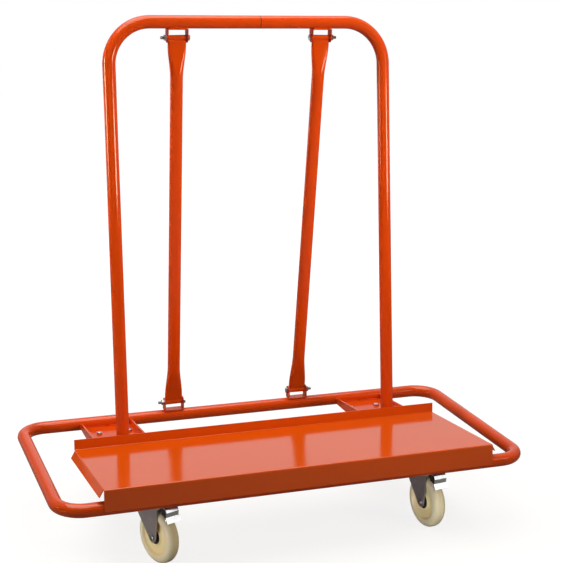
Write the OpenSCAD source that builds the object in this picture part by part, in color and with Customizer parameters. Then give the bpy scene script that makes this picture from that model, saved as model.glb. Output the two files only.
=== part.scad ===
// Drywall cart: a welded tube loop on four swivel casters, two cross channels, a tilted sheet deck,
// a leaning two-piece hoop and two braces bolted into clevises.
// The origin is on the floor under the middle of the loop. X runs to the right as seen from the
// deck side, Y to the rear and Z up. Lengths are millimetres and angles are degrees.

/* [Base loop] */
// Length over the loop
frame_l = 1150; // [1110:1:1200]
// Depth over the loop
frame_w = 550; // [540:1:570]
// Outer diameter of the loop, hoop and brace tubes
tube_d = 31; // [30:0.25:32]
// Wall of the tubes
tube_wall = 2; // [1.5:0.1:2.5]
// Corner radius of the loop, on the tube's centre line
corner_r = 58; // [52:1:64]
// How far the loop hangs below the underside of the channels
tube_drop = 5; // [4:0.25:6]
// Diameter of the drain holes under the loop and near the feet of the braces
drain_d = 6; // [5:0.25:7]

/* [Cross channels] */
// Width of a channel over its lips
channel_w = 130; // [127:0.5:134]
// Height of a channel's lips under the deck and at the rear tube
channel_h = 16; // [15:0.25:18]
// Height of a channel's lips just behind the deck, from where they slope down to the rear tube
gusset_h = 36; // [30:0.5:40]
// Plate thickness of the channels
channel_t = 4; // [3.5:0.1:4.5]
// Distance from the middle of the cart to the centre line of a channel
channel_x = 346; // [341:0.5:350]

/* [Deck] */
// Length of the flat deck between its end folds
deck_l = 934; // [900:1:950]
// Height of the deck's top face above the axis of the front tube, square to the deck
deck_rise = 46; // [43:0.5:49]
// Slope of the deck down toward the rear
deck_tilt = 5.3; // [4.5:0.1:6]
// Sheet thickness of the deck
sheet_t = 2; // [1.5:0.1:2.5]
// Height of the rear lip above the deck
lip_h = 24; // [20:0.5:28]
// Depth of the front flange below the top face
flange_h = 50; // [47:0.5:53]
// Width of the folded end flanges
end_flange_w = 20; // [17:0.5:23]
// Slope of the end flanges below the deck
end_flange_angle = 60; // [50:1:75]
// How much the ends of an end flange are cut back at its free edge
end_flange_cut = 2; // [1.5:0.25:12]
// Depth of the flange of a deck support
support_d = 30; // [26:1:34]
// Distance from the rear lip to the web of a deck support
support_inset = 43; // [40:0.5:46]
// Gap between a deck support and each lip of its channel
support_play = 0.5; // [0.4:0.05:0.8]

/* [Hoop] */
// Distance from the axis of the rear tube to the axes of the legs at their feet
hoop_setback = 198; // [192:0.5:204]
// Height of the top of the hoop above the floor
cart_h = 1191; // [1150:1:1230]
// Backward lean of the hoop
hoop_lean = 7.5; // [7:0.1:8]
// Bend radius of the hoop, on the tube's centre line
hoop_r = 100; // [90:1:110]
// Distance of the seam in the top bar from the middle of the cart
seam_x = 24; // [15:1:40]
// Length of the inner sleeve at the seam
sleeve_l = 120; // [100:1:140]
// Gap between the rear lip of the deck and the legs
lip_gap = 0.5; // [0.4:0.05:0.8]
// Width of a foot plate
foot_w = 84; // [80:0.5:88]
// Depth of a foot plate
foot_d = 46; // [44:0.5:48]
// Thickness of a foot plate
foot_t = 5; // [4:0.25:6]
// Distance from a leg's axis to each of its foot bolts
foot_bolt_x = 31; // [30:0.25:32]

/* [Braces] */
// How far the pair of braces sits to the right of the middle of the cart
brace_shift = 1.5; // [0:0.25:3]
// Distance from the middle of the pair to the top of a brace
brace_top_x = 181.5; // [176:0.5:187]
// Distance from the middle of the pair to the foot of a brace
brace_foot_x = 169; // [164:0.5:174]
// Width of a brace's flattened end and of its rolled eye
eye_w = 44.8; // [43:0.2:44.8]
// Outer diameter of the rolled eye
eye_d = 13; // [12.5:0.1:14]
// Thickness of the flattened end
flat_t = 10; // [8:0.25:11]
// Length of the flattened end from the eye's axis
flat_l = 22; // [20:0.5:24]
// Length over which the tube tapers into the flattened end
taper_l = 75; // [65:1:85]
// Width of a clevis over its ears
clevis_w = 50.5; // [50:0.25:52]
// Sheet thickness of a clevis
clevis_t = 2.4; // [2.2:0.1:2.4]
// Depth of the ears of a clevis
ear_d = 24; // [22:0.25:26]
// Distance from the tube's surface to the clevis bolt
clevis_reach = 21; // [20:0.25:22]
// Length of thread that stands out past a clevis nut
thread_show = 8; // [6:0.25:10]

/* [Fasteners] */
// Diameter of the bolts
bolt_d = 8; // [7.5:0.1:8]
// Radial gap between a bolt and its hole
bolt_play = 0.4; // [0.3:0.05:0.5]
// Width across flats of the bolt heads and nuts
bolt_flats = 13; // [12.5:0.1:13]
// Height of the bolt heads
head_h = 5.3; // [5:0.1:5.6]
// Height of the nuts
nut_h = 6.5; // [6:0.1:6.8]
// Length of thread that stands out below a floor nut
thread_end = 1.5; // [1:0.1:1.8]

/* [Casters] */
// Height from the floor to the underside of the channels
caster_h = 165; // [163:0.5:168]
// How far the caster axes sit inside the channel centre lines
caster_inset = 8.5; // [7:0.5:10]
// Distance from the axis of the front or rear tube to the caster axes
caster_setback = 103.5; // [101:0.5:106]
// Turn of the front left caster from straight ahead
front_left_turn = 20; // [0:1:359]
// Turn of the front right caster from straight ahead
front_right_turn = 7; // [0:1:359]
// Turn of the rear left caster from straight ahead
rear_left_turn = 168; // [0:1:359]
// Turn of the rear right caster from straight ahead
rear_right_turn = 190; // [0:1:359]
// Distance of the wheel's axle ahead of the swivel axis
trail = 38; // [37:0.25:39]
// Width of a top plate
plate_w = 100; // [97:0.5:103]
// Depth of a top plate
plate_d = 105; // [102:0.5:108]
// Corner radius of a top plate
plate_r = 10; // [8:0.5:12]
// Thickness of a top plate
plate_t = 4; // [3.5:0.1:4.2]
// Spacing of the plate's bolt holes across
hole_w = 75; // [74:0.25:76]
// Spacing of the plate's bolt holes front to rear
hole_d = 80; // [79:0.25:82]
// Diameter of the king pin
king_d = 12; // [11:0.1:12.5]
// Width across flats of the king pin's head
king_flats = 19; // [18:0.25:20]
// Height of the king pin's head
king_head_h = 8; // [7:0.25:9]
// Radial gap of each running fit
run_gap = 0.05; // [0.02:0.01:0.09]
// Gap between faces that pass each other
pass_gap = 0.4; // [0.35:0.05:0.6]
// Diameter of the swivel balls
ball_d = 6; // [5.5:0.1:6.2]
// Number of swivel balls
ball_count = 16; // [14:1:18]
// Radius of the ring of swivel balls
ball_ring_r = 27; // [26:0.25:28]
// How deep the balls sit in the fork's crown
ball_seat = 1.3; // [1:0.1:1.6]
// Diameter of the fork's crown
crown_d = 76; // [73:0.5:78]
// Thickness of the fork's crown
crown_t = 4; // [3.5:0.1:4.5]
// Thickness of the fork's cheeks
cheek_t = 2.6; // [2.4:0.1:3]
// How far the cheeks reach behind the swivel axis
cheek_back = 27; // [25:0.5:29]
// How far the level top of the cheeks reaches ahead of the swivel axis
cheek_front = 30; // [28:0.5:31]
// Radius of a cheek around the axle
cheek_r = 13; // [12:0.25:14]
// Height of a cheek's upright rear edge below the crown
cheek_skirt = 39; // [36:0.5:42]

/* [Wheels] */
// Diameter of a wheel
wheel_d = 127; // [124:0.5:128]
// Width of the tread
wheel_w = 31; // [30:0.25:32]
// Rounding of the tread's edges
tread_r = 13; // [12:0.25:14]
// Radial depth of the rim
rim_h = 20; // [18:0.25:22]
// Thickness of the web between the hub and the rim
web_t = 22; // [20:0.25:24]
// Diameter of the hub
hub_d = 40; // [38:0.25:42]
// How far each end of the hub stands past the side of the tread
hub_stand = 0.5; // [0.3:0.05:0.8]
// Gap between the hub and each cheek
hub_gap = 0.7; // [0.5:0.05:1]
// Diameter of the axle
axle_d = 8; // [7.5:0.1:8.5]
// Width across flats of the axle's head and nut
axle_flats = 13; // [12.5:0.1:14]
// Height of the axle's head
axle_head_h = 4.5; // [4:0.1:5]
// Height of the axle's nut
axle_nut_h = 4.5; // [4:0.1:5]
// Length of thread that stands out past the axle's nut
axle_thread = 1; // [0.8:0.1:1.5]
// Outer diameter of a wheel bearing
bearing_d = 26; // [25:0.25:27]
// Width of a wheel bearing
bearing_w = 8; // [7:0.25:9]
// Radial gap between the axle and the middle of the hub
hub_play = 1; // [0.8:0.05:1.2]

/* [Brakes] */
// Distance of the pedal's pivot ahead of the axle
pivot_lead = 18; // [17:0.25:19]
// Height of the pedal's pivot above the axle
pivot_rise = 78; // [77:0.25:79]
// Radius of the pedal's pivot boss and of the lug that carries it
lug_r = 7; // [6.5:0.1:7.2]
// Diameter of the pedal's pivot pin
pivot_d = 6; // [5.5:0.1:6.2]
// Height of the top of the pedal's upper step above the pivot
pedal_top = 6; // [5.5:0.1:6.2]
// Width of the pedal
pedal_w = 32.6; // [31:0.1:32.6]
// Plate thickness of the pedal
pedal_t = 2.5; // [2:0.1:3]
// Length of the pedal's upper step
upper_step = 29.5; // [28:0.25:31]
// Run of the sloping nose below the upper step
nose_run = 4.5; // [4:0.25:5]
// Drop of the sloping nose below the upper step
nose_drop = 10; // [9:0.25:11]
// How far the neck below the nose is set back
neck_back = 1; // [0.5:0.1:1.5]
// Drop of the neck below the nose
neck_drop = 10; // [9:0.25:11]
// Run of the flap that the foot presses
flap_run = 8; // [7:0.25:9]
// Drop of the flap that the foot presses
flap_drop = 11.5; // [10:0.25:12]
// Width of the flap that the foot presses
flap_w = 42; // [38:0.5:44]
// Width of the brake pad
pad_w = 24; // [22:0.25:26]
// Length of the brake pad
pad_l = 9; // [8:0.25:10]
// Depth of the brake pad's face below the top of the upper step
pad_h = 22.5; // [21.5:0.25:22.5]

/* [Hidden] */
$fn = 64;

left = -1;
right = 1;
front = -1;
rear = 1;
coat = [0.86, 0.30, 0.08];
zinc = [0.72, 0.73, 0.75];
chrome = [0.86, 0.87, 0.88];
steel = [0.55, 0.55, 0.58];
nylon = [0.92, 0.89, 0.74];
rubber = [0.12, 0.12, 0.12];

// Loop axes and heights
tube_r = tube_d / 2;
bore_d = tube_d - 2 * tube_wall;
loop_x = frame_l / 2 - tube_r;
loop_y = frame_w / 2 - tube_r;
tube_z = caster_h - tube_drop + tube_r;

// How far a cut runs past the face that it cuts
over = channel_t;

// Deck, measured from the axis of the front tube in the deck's own tilted frame
deck_front = -tube_r - sheet_t;
deck_under = deck_rise - sheet_t;

// Hoop, and the deck's depth: the lower edge of the rear lip is just ahead of the legs
floor_z = caster_h + channel_t;
foot_z = floor_z + foot_t;
hoop_y = loop_y - hoop_setback;
leg_front_y = hoop_y - tube_r / cos(hoop_lean) - lip_gap;
deck_under_z = tube_z + deck_under * cos(deck_tilt);
deck_under_y = deck_under * sin(deck_tilt) - loop_y;
deck_reach = leg_front_y + (deck_under_z - foot_z) * tan(hoop_lean) - deck_under_y;
deck_back = deck_reach / (cos(deck_tilt) + sin(deck_tilt) * tan(hoop_lean));
deck_d = deck_back - deck_front;
gusset_y = deck_back * cos(deck_tilt) + (deck_rise + lip_h) * sin(deck_tilt) - loop_y + lip_gap;
bar_z = cart_h - tube_r;
hoop_rise = (bar_z - foot_z) / cos(hoop_lean);
bar_y = hoop_y + hoop_rise * sin(hoop_lean);

// Braces between the clevis bolts
brace_top_z = bar_z - tube_r - clevis_reach;
brace_foot_z = tube_z + tube_r + clevis_reach;
bolt_hole_d = bolt_d + 2 * bolt_play;

// Casters, measured from the swivel axis at the underside of the channels
caster_x = channel_x - caster_inset;
caster_y = loop_y - caster_setback;
caster_places = [
    [left * caster_x, front * caster_y],
    [right * caster_x, front * caster_y],
    [left * caster_x, rear * caster_y],
    [right * caster_x, rear * caster_y]
];
caster_turns = [front_left_turn, front_right_turn, rear_left_turn, rear_right_turn];
axle_z = wheel_d / 2 - caster_h;
plate_under = -plate_t;
ball_z = plate_under - pass_gap - ball_d / 2;
crown_top = ball_z - ball_d / 2 + ball_seat;
crown_under = crown_top - crown_t;
hub_w = wheel_w + 2 * hub_stand;
cheek_in = hub_w / 2 + hub_gap;
cheek_out = cheek_in + cheek_t;
pivot_s = trail + pivot_lead;
pivot_z = axle_z + pivot_rise;
nose_s = upper_step + nose_run;
neck_s = nose_s - neck_back;
tip_s = neck_s + flap_run;
nose_y = pedal_top - nose_drop;
neck_y = nose_y - neck_drop;
tip_y = neck_y - flap_drop;

// One tube quarter bend, from the X axis toward the Y axis
module quarter_bend(r, d) {
    rotate_extrude(angle = 90)
        translate([r, 0])
            circle(d = d);
}

module rod_x(l, d) {
    rotate([0, 90, 0])
        cylinder(d = d, h = l, center = true);
}

module hex(flats, h) {
    cylinder(d = flats / cos(30), h = h, $fn = 6);
}

// Base loop

module loop_path(d) {
    straight_x = 2 * (loop_x - corner_r);
    straight_y = 2 * (loop_y - corner_r);
    translate([0, 0, tube_z]) {
        for (s = [front, rear])
            translate([0, s * loop_y, 0])
                rod_x(straight_x, d);
        for (s = [left, right])
            translate([s * loop_x, 0, 0])
                rotate([90, 0, 0])
                    cylinder(d = d, h = straight_y, center = true);
        for (quarter = [0 : 3])
            translate([
                (quarter == 0 || quarter == 3 ? right : left) * straight_x / 2,
                (quarter < 2 ? rear : front) * straight_y / 2,
                0
            ])
                rotate([0, 0, 90 * quarter])
                    quarter_bend(corner_r, d);
    }
}

module base_loop() {
    color(coat)
        difference() {
            loop_path(tube_d);
            loop_path(bore_d);
            for (s = [left, right])
                translate([s * loop_x, 0, tube_z - tube_d])
                    cylinder(d = drain_d, h = tube_d);
        }
}

// Cross channels, coped to the front and rear tubes

module foot_bolt_places(side) {
    for (s = [left, right])
        translate([side * channel_x + s * foot_bolt_x, hoop_y, 0])
            children();
}

module plate_bolt_places() {
    for (sx = [left, right], sy = [front, rear])
        translate([sx * hole_w / 2, sy * hole_d / 2, 0])
            children();
}

// A lip of a channel, with its inner face at x = 0
module channel_lip() {
    rotate([90, 0, 90])
        linear_extrude(height = channel_t)
            polygon([
                [-loop_y, 0],
                [loop_y, 0],
                [loop_y, channel_h],
                [loop_y - tube_r, channel_h],
                [gusset_y, gusset_h],
                [gusset_y, channel_h],
                [-loop_y, channel_h]
            ]);
}

module cross_channel(side) {
    color(coat)
        difference() {
            translate([side * channel_x, 0, caster_h]) {
                translate([-channel_w / 2, -loop_y, 0])
                    cube([channel_w, 2 * loop_y, channel_t]);
                for (s = [0, 1])
                    mirror([s, 0, 0])
                        translate([channel_w / 2 - channel_t, 0, 0])
                            channel_lip();
            }
            for (s = [front, rear])
                translate([side * channel_x, s * loop_y, tube_z])
                    rod_x(2 * channel_w, tube_d);
            for (s = [front, rear])
                translate([side * caster_x, s * caster_y, caster_h - over])
                    plate_bolt_places()
                        cylinder(d = bolt_hole_d, h = channel_t + 2 * over);
            translate([0, 0, caster_h - over])
                foot_bolt_places(side)
                    cylinder(d = bolt_hole_d, h = channel_t + 2 * over);
        }
}

// Deck

module deck_frame() {
    translate([0, -loop_y, tube_z])
        rotate([-deck_tilt, 0, 0])
            children();
}

// The corners of the sheet are relieved, so that an end flange clears the front flange and the rear lip
module end_flange() {
    from = deck_front + 2 * sheet_t;
    to = deck_back - 2 * sheet_t;
    translate([deck_l / 2, 0, deck_rise])
        rotate([0, end_flange_angle, 0])
            translate([0, 0, -sheet_t])
                linear_extrude(height = sheet_t)
                    polygon([
                        [0, from],
                        [end_flange_w, from + end_flange_cut],
                        [end_flange_w, to - end_flange_cut],
                        [0, to]
                    ]);
}

module deck_tray() {
    color(coat)
        deck_frame() {
            translate([-deck_l / 2, deck_front, deck_under])
                cube([deck_l, deck_d, sheet_t]);
            translate([-deck_l / 2, deck_front, deck_rise - flange_h])
                cube([deck_l, sheet_t, flange_h]);
            translate([-deck_l / 2, deck_back - sheet_t, deck_under])
                cube([deck_l, sheet_t, sheet_t + lip_h]);
            for (s = [0, 1])
                mirror([s, 0, 0])
                    end_flange();
        }
}

module deck_support(side) {
    support_w = channel_w - 2 * channel_t - 2 * support_play;
    web_u = deck_back - support_inset;
    color(coat)
        difference() {
            deck_frame()
                translate([side * channel_x - support_w / 2, web_u, 0]) {
                    translate([0, -support_d + channel_t, deck_under - channel_t])
                        cube([support_w, support_d, channel_t]);
                    translate([0, 0, -deck_rise])
                        cube([support_w, channel_t, deck_rise + deck_under]);
                }
            translate([side * channel_x - channel_w / 2, -frame_w / 2, 0])
                cube([channel_w, frame_w, floor_z]);
        }
}

// Hoop

module hoop_frame() {
    translate([0, hoop_y, foot_z])
        rotate([-hoop_lean, 0, 0])
            children();
}

// The right half of the hoop, from its foot to the end of its part of the top bar
module hoop_half(bar_end, d, below) {
    bend_x = channel_x - hoop_r;
    translate([channel_x, 0, -below])
        cylinder(d = d, h = hoop_rise - hoop_r + below);
    translate([bend_x, 0, hoop_rise - hoop_r])
        rotate([90, 0, 0])
            quarter_bend(hoop_r, d);
    translate([bar_end, 0, hoop_rise])
        rotate([0, 90, 0])
            cylinder(d = d, h = bend_x - bar_end);
}

module upright(side) {
    bar_end = side * seam_x;
    mirror_side = side == left ? 1 : 0;
    color(coat) {
        difference() {
            hoop_frame()
                mirror([mirror_side, 0, 0])
                    hoop_half(bar_end, tube_d, tube_d);
            hoop_frame()
                mirror([mirror_side, 0, 0])
                    hoop_half(bar_end - over, bore_d, 2 * tube_d);
            translate([side * channel_x - foot_w, hoop_y - foot_w, foot_z - 2 * foot_w])
                cube([2 * foot_w, 2 * foot_w, 2 * foot_w]);
        }
        difference() {
            translate([side * channel_x - foot_w / 2, hoop_y - foot_d / 2, floor_z])
                cube([foot_w, foot_d, foot_t]);
            translate([0, 0, floor_z - over])
                foot_bolt_places(side)
                    cylinder(d = bolt_hole_d, h = foot_t + 2 * over);
        }
    }
}

module hoop_joint_sleeve() {
    color(steel)
        hoop_frame()
            translate([seam_x, 0, hoop_rise])
                difference() {
                    rod_x(sleeve_l, bore_d);
                    rod_x(sleeve_l + 2 * over, bore_d - 2 * tube_wall);
                }
}

// A bolt that hangs from its head, with the head standing on z = 0
module hung_bolt(l) {
    hex(bolt_flats, head_h);
    translate([0, 0, -l])
        cylinder(d = bolt_d, h = l + head_h);
}

module hex_nut(flats, h, d) {
    difference() {
        hex(flats, h);
        translate([0, 0, -over])
            cylinder(d = d, h = h + 2 * over);
    }
}

module foot_bolts() {
    color(zinc)
        for (s = [left, right])
            translate([0, 0, foot_z])
                foot_bolt_places(s)
                    hung_bolt(foot_t + channel_t + nut_h + thread_end);
}

module foot_nuts() {
    color(zinc)
        for (s = [left, right])
            translate([0, 0, caster_h - nut_h])
                foot_bolt_places(s)
                    hex_nut(bolt_flats, nut_h, bolt_d);
}

// Braces

// A clevis standing on the top of a tube whose surface is at z = 0
module clevis() {
    color(coat)
        difference() {
            union() {
                translate([-clevis_w / 2, -ear_d / 2, 0])
                    cube([clevis_w, ear_d, clevis_t]);
                for (s = [0, 1])
                    mirror([s, 0, 0])
                        translate([clevis_w / 2 - clevis_t, -ear_d / 2, 0])
                            cube([clevis_t, ear_d, clevis_reach]);
                for (s = [left, right])
                    translate([s * (clevis_w - clevis_t) / 2, 0, clevis_reach])
                        rod_x(clevis_t, ear_d);
            }
            translate([0, 0, clevis_reach])
                rod_x(clevis_w + 2 * over, bolt_hole_d);
        }
}

module top_clevis(side) {
    translate([brace_shift + side * brace_top_x, bar_y, bar_z - tube_r])
        mirror([0, 0, 1])
            clevis();
}

module foot_clevis(side) {
    translate([brace_shift + side * brace_foot_x, loop_y, tube_z + tube_r])
        clevis();
}

// The flattened, rolled end of a brace with its eye at the origin, pointing up the brace
module brace_end() {
    round_at = flat_l + taper_l;
    slice_t = sheet_t;
    for (s = [left, right])
        translate([s * (eye_w - flat_t) / 2, 0, 0])
            cylinder(d = flat_t, h = flat_l);
    translate([-(eye_w - flat_t) / 2, -flat_t / 2, 0])
        cube([eye_w - flat_t, flat_t, flat_l]);
    hull() {
        for (s = [left, right])
            translate([s * (eye_w - flat_t) / 2, 0, flat_l - slice_t])
                cylinder(d = flat_t, h = slice_t, $fn = 32);
        translate([0, 0, round_at])
            cylinder(d = tube_d, h = slice_t, $fn = 32);
    }
    rod_x(eye_w, eye_d);
}

module brace(side) {
    dx = side * (brace_top_x - brace_foot_x);
    dy = bar_y - loop_y;
    dz = brace_top_z - brace_foot_z;
    l = norm([dx, dy, dz]);
    round_at = flat_l + taper_l;
    color(coat)
        translate([brace_shift + side * brace_foot_x, loop_y, brace_foot_z])
            rotate([-asin(dy / l), atan2(dx, dz), 0])
                difference() {
                    union() {
                        translate([0, 0, round_at])
                            cylinder(d = tube_d, h = l - 2 * round_at);
                        brace_end();
                        translate([0, 0, l])
                            mirror([0, 0, 1])
                                brace_end();
                    }
                    translate([0, 0, round_at + over])
                        cylinder(d = bore_d, h = l - 2 * (round_at + over));
                    translate([0, 0, round_at + tube_d])
                        rotate([-90, 0, 0])
                            cylinder(d = drain_d, h = tube_d);
                    rod_x(eye_w + 2 * over, bolt_hole_d);
                    translate([0, 0, l])
                        rod_x(eye_w + 2 * over, bolt_hole_d);
                }
}

// Each clevis bolt points outward from the middle of the cart
module clevis_places() {
    for (s = [left, right]) {
        translate([brace_shift + s * brace_top_x, bar_y, brace_top_z])
            rotate([0, s * 90, 0])
                children();
        translate([brace_shift + s * brace_foot_x, loop_y, brace_foot_z])
            rotate([0, s * 90, 0])
                children();
    }
}

module clevis_bolts() {
    color(zinc)
        clevis_places()
            translate([0, 0, -clevis_w / 2])
                mirror([0, 0, 1])
                    hung_bolt(clevis_w + nut_h + thread_show);
}

module clevis_nuts() {
    color(zinc)
        clevis_places()
            translate([0, 0, clevis_w / 2])
                hex_nut(bolt_flats, nut_h, bolt_d);
}

// Casters

module caster_bolts() {
    color(zinc)
        for (place = caster_places)
            translate([place[0], place[1], floor_z])
                plate_bolt_places()
                    hung_bolt(channel_t + plate_t + nut_h + thread_end);
}

module caster_nuts() {
    color(zinc)
        for (place = caster_places)
            translate([place[0], place[1], caster_h + plate_under - nut_h])
                plate_bolt_places()
                    hex_nut(bolt_flats, nut_h, bolt_d);
}

// The frame of one caster: its swivel axis, at the underside of the channel
module caster_frame(i) {
    translate([caster_places[i][0], caster_places[i][1], caster_h])
        children();
}

// The same frame turned with the caster, so that the axle is ahead on -Y
module turned_frame(i) {
    caster_frame(i)
        rotate([0, 0, caster_turns[i]])
            children();
}

module top_plate(i) {
    color(zinc)
        caster_frame(i)
            translate([0, 0, plate_under])
                difference() {
                    linear_extrude(height = plate_t) {
                        square([plate_w - 2 * plate_r, plate_d], center = true);
                        square([plate_w, plate_d - 2 * plate_r], center = true);
                        for (sx = [left, right], sy = [front, rear])
                            translate([sx * (plate_w / 2 - plate_r), sy * (plate_d / 2 - plate_r)])
                                circle(r = plate_r);
                    }
                    translate([0, 0, -over]) {
                        cylinder(d = king_d, h = plate_t + 2 * over);
                        plate_bolt_places()
                            cylinder(d = bolt_hole_d, h = plate_t + 2 * over);
                    }
                }
}

module king_pin(i) {
    head_top = crown_under - pass_gap;
    color(steel)
        caster_frame(i) {
            translate([0, 0, head_top])
                cylinder(d = king_d, h = -head_top);
            translate([0, 0, head_top - king_head_h])
                hex(king_flats, king_head_h);
        }
}

module swivel_balls(i) {
    color(steel)
        turned_frame(i)
            for (k = [0 : ball_count - 1])
                rotate([0, 0, k * 360 / ball_count])
                    translate([ball_ring_r, 0, ball_z])
                        sphere(d = ball_d);
}

// Side outline of a cheek: x is the distance ahead of the swivel axis, y is the height
module cheek_outline(brake) {
    polygon([
        [-cheek_back, crown_top],
        [-cheek_back, crown_under - cheek_skirt],
        [trail - cheek_r * cos(45), axle_z - cheek_r * sin(45)],
        [trail + cheek_r, axle_z],
        [pivot_s, pivot_z - lug_r],
        [pivot_s, pivot_z + lug_r],
        [cheek_front, crown_top]
    ]);
    translate([trail, axle_z])
        circle(r = cheek_r);
    if (brake)
        translate([pivot_s, pivot_z])
            circle(r = lug_r);
}

// Stands a side outline up in the fork's plane and gives it a width across the fork
module across(x, w) {
    translate([x, 0, 0])
        rotate([90, 0, -90])
            linear_extrude(height = w, center = true)
                children();
}

module fork(i, brake) {
    color(zinc)
        turned_frame(i)
            difference() {
                union() {
                    translate([0, 0, crown_under])
                        cylinder(d = crown_d, h = crown_t);
                    for (s = [left, right])
                        across(s * (cheek_in + cheek_t / 2), cheek_t)
                            cheek_outline(brake);
                }
                translate([0, 0, crown_under - over])
                    cylinder(d = king_d + 2 * run_gap, h = crown_t + 2 * over);
                translate([0, 0, ball_z])
                    rotate_extrude()
                        translate([ball_ring_r, 0])
                            circle(d = ball_d);
                translate([0, -trail, axle_z])
                    rod_x(2 * cheek_out + 2 * over, axle_d);
                if (brake)
                    translate([0, -pivot_s, pivot_z])
                        rod_x(2 * cheek_out + 2 * over, pivot_d);
            }
}

// The axle is a bolt with its head on the inner side of the caster and its nut on the outer side
module axle(i) {
    l = 2 * cheek_out + axle_nut_h + axle_thread;
    color(zinc)
        turned_frame(i)
            translate([cheek_out, -trail, axle_z])
                rotate([0, 90, 0]) {
                    hex(axle_flats, axle_head_h);
                    translate([0, 0, -l])
                        cylinder(d = axle_d, h = l);
                }
}

module axle_nut(i) {
    color(zinc)
        turned_frame(i)
            translate([-cheek_out, -trail, axle_z])
                rotate([0, -90, 0])
                    hex_nut(axle_flats, axle_nut_h, axle_d);
}

// Half section of a wheel: x is the radius, y runs across the wheel
module wheel_section() {
    rim_in = wheel_d / 2 - rim_h;
    hub_in = axle_d / 2 + hub_play;
    translate([rim_in, -wheel_w / 2])
        square([rim_h - tread_r, wheel_w]);
    translate([rim_in, -wheel_w / 2 + tread_r])
        square([rim_h, wheel_w - 2 * tread_r]);
    for (s = [left, right])
        translate([wheel_d / 2 - tread_r, s * (wheel_w / 2 - tread_r)])
            circle(r = tread_r);
    difference() {
        union() {
            translate([hub_in, -web_t / 2])
                square([rim_in - hub_in + over, web_t]);
            translate([hub_in, -hub_w / 2])
                square([hub_d / 2 - hub_in, hub_w]);
        }
        for (s = [0, 1])
            mirror([0, s])
                translate([0, hub_w / 2 - bearing_w])
                    square([bearing_d / 2, bearing_w + over]);
    }
}

module wheel(i) {
    color(nylon)
        turned_frame(i)
            translate([0, -trail, axle_z])
                rotate([0, 90, 0])
                    rotate_extrude()
                        wheel_section();
}

module wheel_bearings(i) {
    color(rubber)
        turned_frame(i)
            for (s = [left, right])
                translate([s * (hub_w - bearing_w) / 2, -trail, axle_z])
                    difference() {
                        rod_x(bearing_w, bearing_d);
                        rod_x(bearing_w + 2 * over, axle_d + 2 * run_gap);
                    }
}

// Brakes

module pedal_pin(i) {
    color(steel)
        turned_frame(i)
            translate([0, -pivot_s, pivot_z])
                rod_x(2 * cheek_out, pivot_d);
}

// Side outline of the pedal's stepped plate, from its pivot: x runs ahead and y up
module pedal_outline() {
    polygon([
        [0, pedal_top],
        [upper_step, pedal_top],
        [nose_s, nose_y],
        [neck_s, neck_y],
        [tip_s, tip_y],
        [tip_s - pedal_t, tip_y - pedal_t],
        [neck_s - pedal_t, neck_y - pedal_t],
        [nose_s - pedal_t, nose_y - pedal_t],
        [upper_step - pedal_t, pedal_top - pedal_t],
        [0, pedal_top - pedal_t]
    ]);
}

// Side outline of the flap alone, which is wider than the rest of the plate
module flap_outline() {
    polygon([
        [neck_s, neck_y],
        [tip_s, tip_y],
        [tip_s - pedal_t, tip_y - pedal_t],
        [neck_s - pedal_t, neck_y - pedal_t]
    ]);
}

module pedal_frame(i) {
    turned_frame(i)
        translate([0, -pivot_s, pivot_z])
            children();
}

module brake_pedal(i) {
    color(chrome)
        pedal_frame(i)
            difference() {
                union() {
                    across(0, pedal_w)
                        pedal_outline();
                    across(0, flap_w)
                        flap_outline();
                    rod_x(pedal_w, 2 * lug_r);
                }
                rod_x(pedal_w + 2 * over, pivot_d + 2 * run_gap);
            }
}

module brake_pad(i) {
    color(rubber)
        pedal_frame(i)
            translate([-pad_w / 2, -lug_r - pass_gap - pad_l, pedal_top - pad_h])
                cube([pad_w, pad_l, pad_h - pedal_t]);
}

base_loop();
cross_channel(left);  // left_cross_channel
cross_channel(right);  // right_cross_channel
deck_tray();
deck_support(left);  // left_deck_support
deck_support(right);  // right_deck_support
upright(left);  // left_upright
upright(right);  // right_upright
hoop_joint_sleeve();
foot_bolts();
foot_nuts();
top_clevis(left);  // left_top_clevis
top_clevis(right);  // right_top_clevis
foot_clevis(left);  // left_foot_clevis
foot_clevis(right);  // right_foot_clevis
brace(left);  // left_brace
brace(right);  // right_brace
clevis_bolts();
clevis_nuts();
caster_bolts();
caster_nuts();
top_plate(0);  // front_left_top_plate
king_pin(0);  // front_left_king_pin
swivel_balls(0);  // front_left_swivel_balls
fork(0, true);  // front_left_fork
axle(0);  // front_left_axle
axle_nut(0);  // front_left_axle_nut
wheel(0);  // front_left_wheel
wheel_bearings(0);  // front_left_wheel_bearings
pedal_pin(0);  // front_left_pedal_pin
brake_pedal(0);  // front_left_brake_pedal
brake_pad(0);  // front_left_brake_pad
top_plate(1);  // front_right_top_plate
king_pin(1);  // front_right_king_pin
swivel_balls(1);  // front_right_swivel_balls
fork(1, true);  // front_right_fork
axle(1);  // front_right_axle
axle_nut(1);  // front_right_axle_nut
wheel(1);  // front_right_wheel
wheel_bearings(1);  // front_right_wheel_bearings
pedal_pin(1);  // front_right_pedal_pin
brake_pedal(1);  // front_right_brake_pedal
brake_pad(1);  // front_right_brake_pad
top_plate(2);  // rear_left_top_plate
king_pin(2);  // rear_left_king_pin
swivel_balls(2);  // rear_left_swivel_balls
fork(2, false);  // rear_left_fork
axle(2);  // rear_left_axle
axle_nut(2);  // rear_left_axle_nut
wheel(2);  // rear_left_wheel
wheel_bearings(2);  // rear_left_wheel_bearings
top_plate(3);  // rear_right_top_plate
king_pin(3);  // rear_right_king_pin
swivel_balls(3);  // rear_right_swivel_balls
fork(3, false);  // rear_right_fork
axle(3);  // rear_right_axle
axle_nut(3);  // rear_right_axle_nut
wheel(3);  // rear_right_wheel
wheel_bearings(3);  // rear_right_wheel_bearings
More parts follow.
